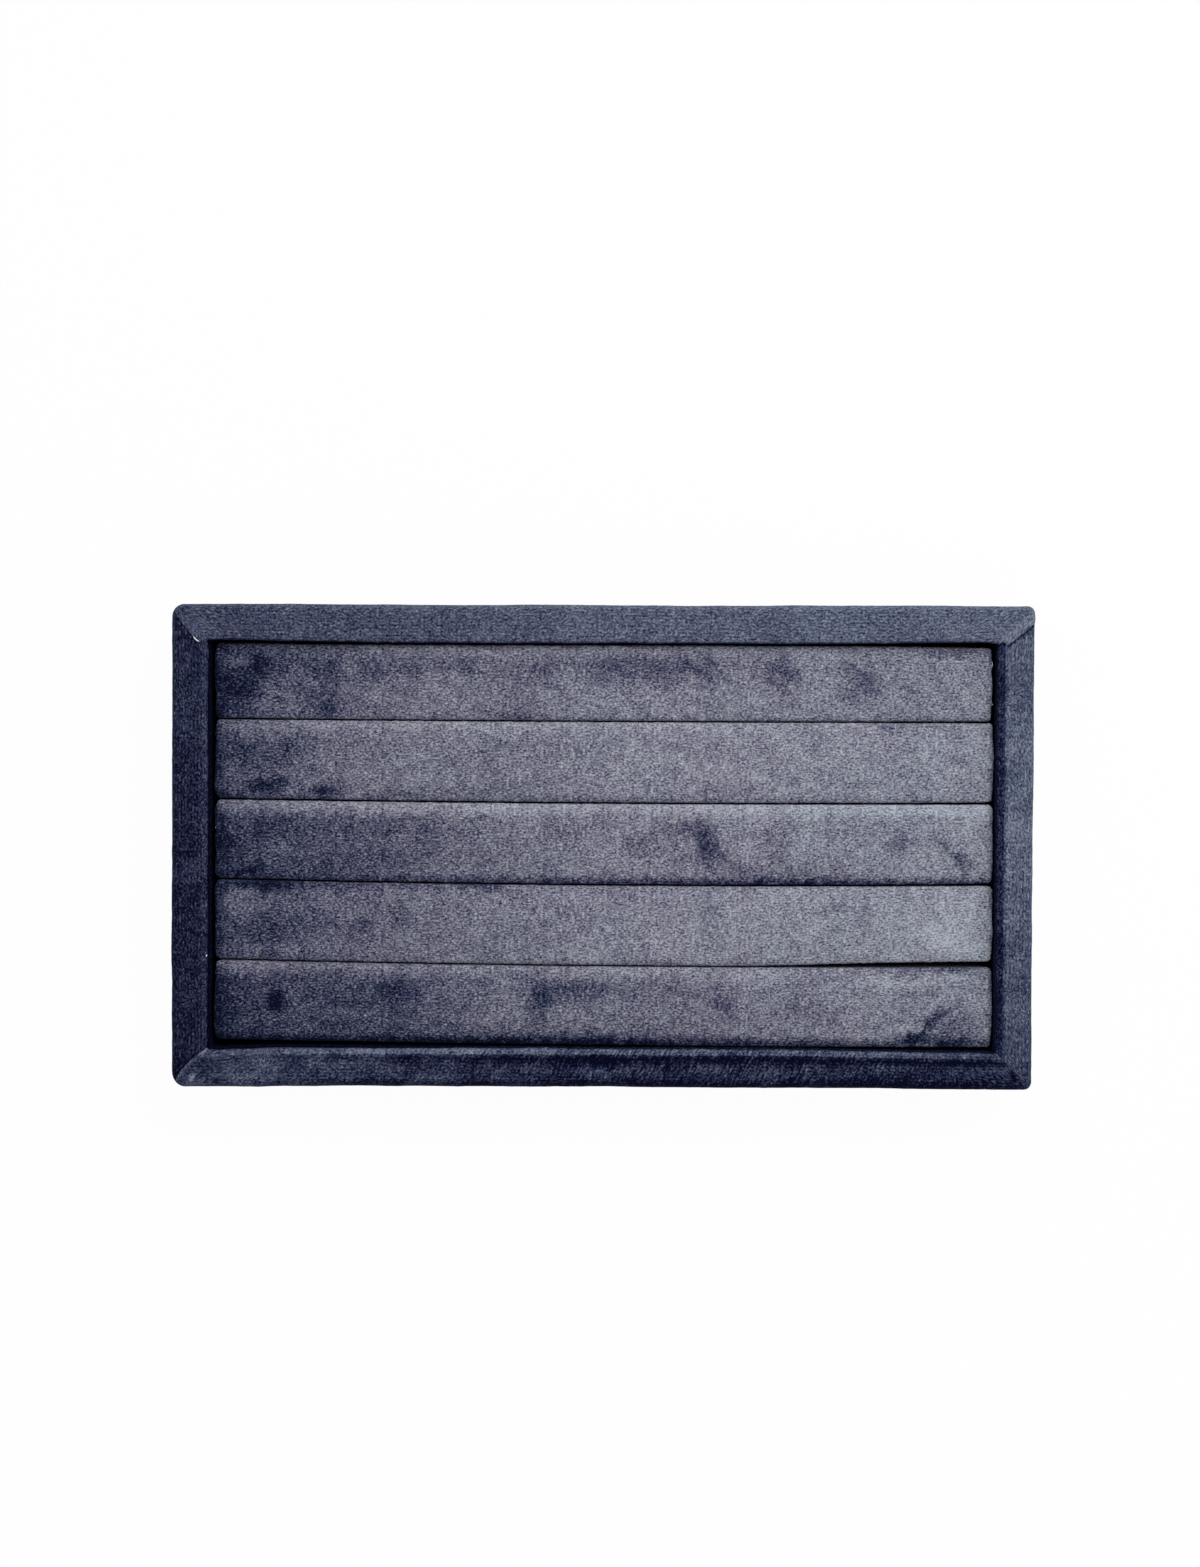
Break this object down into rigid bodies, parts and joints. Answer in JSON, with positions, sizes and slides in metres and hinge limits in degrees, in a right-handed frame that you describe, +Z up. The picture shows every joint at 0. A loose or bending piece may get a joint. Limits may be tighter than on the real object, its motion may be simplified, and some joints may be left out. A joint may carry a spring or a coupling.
{
  "type": "ring tray",
  "caption": "Shallow rectangular velvet ring tray: mitred padded rails round lift-out foam ring bars, with rings held in the slots between the bars.",
  "frame": {"origin": "middle of the underside, on the surface that the tray stands on", "axes": "+X along the tray and its ring bars, +Y towards the rear rail, +Z up"},
  "size_m": [0.25, 0.14, 0.03],
  "materials": {
    "rail_velvet": "short cut pile, navy grey",
    "bar_velvet": "short cut pile, grey with a navy shade",
    "lining_velvet": "short cut pile, dark navy",
    "felt": "matt pressed felt, near black",
    "fibreboard": "raw sanded board",
    "foam": "open-cell, matt",
    "greyboard": "raw, matt",
    "backing_paper": "matt, dark",
    "steel": "plain drawn wire"
  },
  "bodies": {
    "tray": {"base_board": "fibreboard", "floor_lining": "lining_velvet", "underside_cover": "felt", "corner_brads": "steel", "base_brads": "steel", "front_rail": "fibreboard", "front_rail_velvet": "rail_velvet", "rear_rail": "fibreboard", "rear_rail_velvet": "rail_velvet", "left_rail": "fibreboard", "left_rail_velvet": "rail_velvet", "right_rail": "fibreboard", "right_rail_velvet": "rail_velvet"},
    "ring_bar_1": {"ring_bar_1_foam": "foam", "ring_bar_1_board": "greyboard", "ring_bar_1_velvet": "bar_velvet", "ring_bar_1_backing": "backing_paper"},
    "ring_bar_2": {"ring_bar_2_foam": "foam", "ring_bar_2_board": "greyboard", "ring_bar_2_velvet": "bar_velvet", "ring_bar_2_backing": "backing_paper"},
    "ring_bar_3": {"ring_bar_3_foam": "foam", "ring_bar_3_board": "greyboard", "ring_bar_3_velvet": "bar_velvet", "ring_bar_3_backing": "backing_paper"},
    "ring_bar_4": {"ring_bar_4_foam": "foam", "ring_bar_4_board": "greyboard", "ring_bar_4_velvet": "bar_velvet", "ring_bar_4_backing": "backing_paper"},
    "ring_bar_5": {"ring_bar_5_foam": "foam", "ring_bar_5_board": "greyboard", "ring_bar_5_velvet": "bar_velvet", "ring_bar_5_backing": "backing_paper"}
  },
  "joints": [
    {"name": "ring_bar_1_lift", "type": "slide", "parent": "tray", "child": "ring_bar_1", "axis": [0, 0, 1], "range_m": [0, 0.04]},
    {"name": "ring_bar_2_lift", "type": "slide", "parent": "tray", "child": "ring_bar_2", "axis": [0, 0, 1], "range_m": [0, 0.04]},
    {"name": "ring_bar_3_lift", "type": "slide", "parent": "tray", "child": "ring_bar_3", "axis": [0, 0, 1], "range_m": [0, 0.04]},
    {"name": "ring_bar_4_lift", "type": "slide", "parent": "tray", "child": "ring_bar_4", "axis": [0, 0, 1], "range_m": [0, 0.04]},
    {"name": "ring_bar_5_lift", "type": "slide", "parent": "tray", "child": "ring_bar_5", "axis": [0, 0, 1], "range_m": [0, 0.04]}
  ]
}
